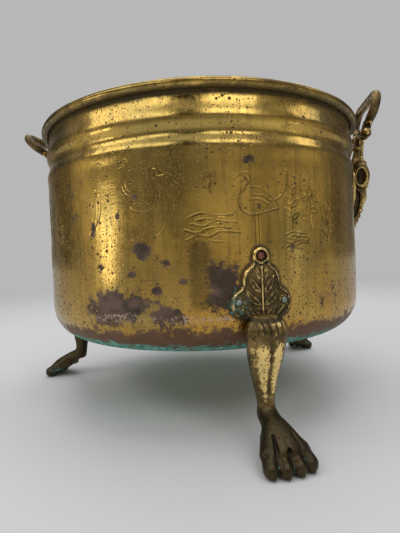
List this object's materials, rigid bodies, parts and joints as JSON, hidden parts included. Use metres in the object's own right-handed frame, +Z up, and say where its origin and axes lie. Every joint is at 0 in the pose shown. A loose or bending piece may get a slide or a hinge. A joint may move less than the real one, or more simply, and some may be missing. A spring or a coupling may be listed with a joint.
{
  "type": "brass planter pot",
  "caption": "Round brass planter pot with a rolled rim, a grooved neck, cast lion-paw feet and hinged bail handles on leaf mounts.",
  "frame": {"origin": "centre of the vessel's inside floor, on its axis", "axes": "+Z up along the vessel's axis, out of the mouth; -Y is the side of the front foot, which stands 15 degrees round towards +X; the handles stand near +X and -X"},
  "size_m": [0.3677, 0.3434, 0.2844],
  "materials": {
    "vessel_brass": "aged spun brass, pitted and streaked, verdigris along the bottom edge",
    "foot_brass": "cast brass, worn bright on the leg and dark brown on the paw",
    "handle_brass": "cast brass with dark brown patina and bright high spots",
    "pin_brass": "rubbed brass",
    "copper_rivet": "aged copper, semi-matt",
    "pale_rivet": "brass dulled by a pale grey-green film",
    "rim_wire": "plain drawn wire, hidden in the rolled edge"
  },
  "bodies": {
    "root": {"pot_body": "vessel_brass", "rim_wire": "rim_wire", "front_foot": "foot_brass", "front_foot_top_rivet": "copper_rivet", "front_foot_side_rivets": "pale_rivet", "left_foot": "foot_brass", "left_foot_top_rivet": "copper_rivet", "left_foot_side_rivets": "pale_rivet", "back_foot": "foot_brass", "back_foot_top_rivet": "copper_rivet", "back_foot_side_rivets": "pale_rivet", "right_handle_mount": "handle_brass", "right_handle_rivets": "pale_rivet", "right_hinge_pin": "pin_brass", "left_handle_mount": "handle_brass", "left_handle_rivets": "pale_rivet", "left_hinge_pin": "pin_brass"},
    "right_bail": {"right_bail": "handle_brass"},
    "left_bail": {"left_bail": "handle_brass"}
  },
  "joints": [
    {"name": "right_bail_swing", "type": "hinge", "parent": "root", "child": "right_bail", "pos_m": [0.1626, -0.01709, 0.18255], "axis": [0.1045, 0.9945, 0], "range_deg": [-48.5, 146.5]},
    {"name": "left_bail_swing", "type": "hinge", "parent": "root", "child": "left_bail", "pos_m": [-0.15931, 0.03678, 0.18255], "axis": [-0.225, -0.9744, 0], "range_deg": [-79, 116]}
  ]
}
